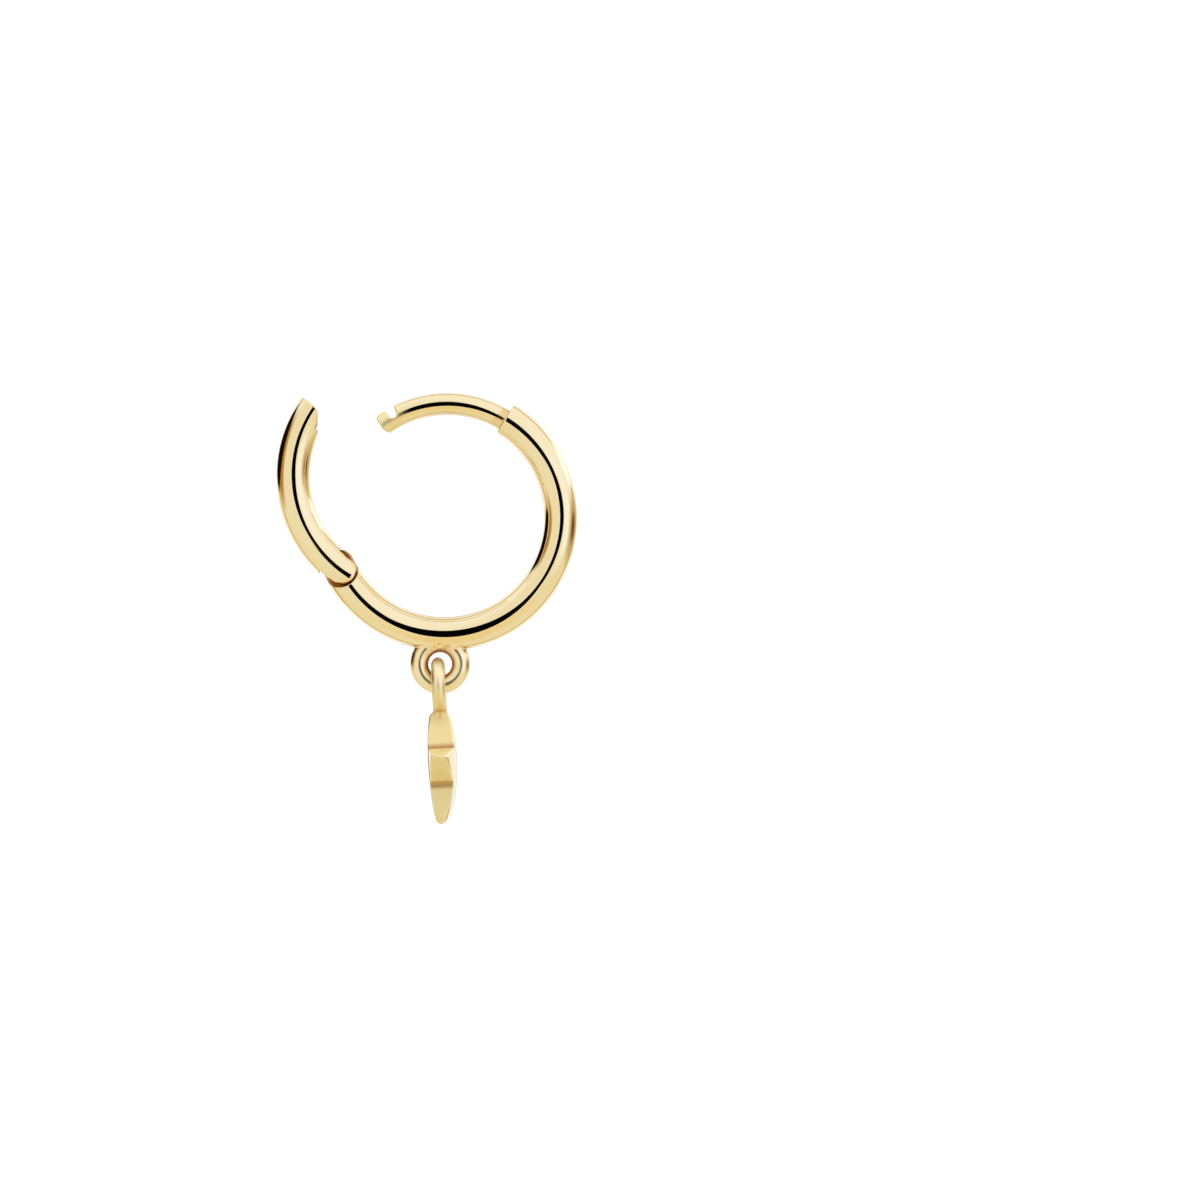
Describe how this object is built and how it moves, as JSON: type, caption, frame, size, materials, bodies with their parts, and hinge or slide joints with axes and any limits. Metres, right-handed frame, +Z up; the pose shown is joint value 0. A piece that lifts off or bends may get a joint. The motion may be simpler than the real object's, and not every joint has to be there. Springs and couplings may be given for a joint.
{
  "type": "hinged hoop charm earring",
  "caption": "Hinged hoop earring with a catch on its ear post and a puffed star charm hanging from a ring under the hoop.",
  "frame": {"origin": "on the axis of the ear post at the top of the hoop, where the ear lobe carries it", "axes": "+Z up, the hoop stands in the XZ plane with its hinged arm on the -X side, +Y points away from the viewer of the picture, the star charm hangs in a plane 2 degrees from the YZ plane and 2.75 degrees from the vertical, as pictured"},
  "size_m": [0.0136, 0.0052, 0.0194],
  "materials": {
    "polished_gold": "mirror polished yellow gold, 14 carat"
  },
  "bodies": {
    "hoop": {"hoop": "polished_gold", "hinge_pin": "polished_gold"},
    "arm": {"hinged_arm": "polished_gold"},
    "charm": {"star_charm": "polished_gold"}
  },
  "joints": [
    {"name": "arm_hinge", "type": "hinge", "parent": "hoop", "child": "arm", "pos_m": [-0.0047, 0, -0.00746], "axis": [0, 1, 0], "range_deg": [0, 27]},
    {"name": "charm_swing", "type": "hinge", "parent": "hoop", "child": "charm", "pos_m": [-0.0002, 0, -0.01268], "axis": [1, 0, 0], "range_deg": [-130, 130]}
  ]
}
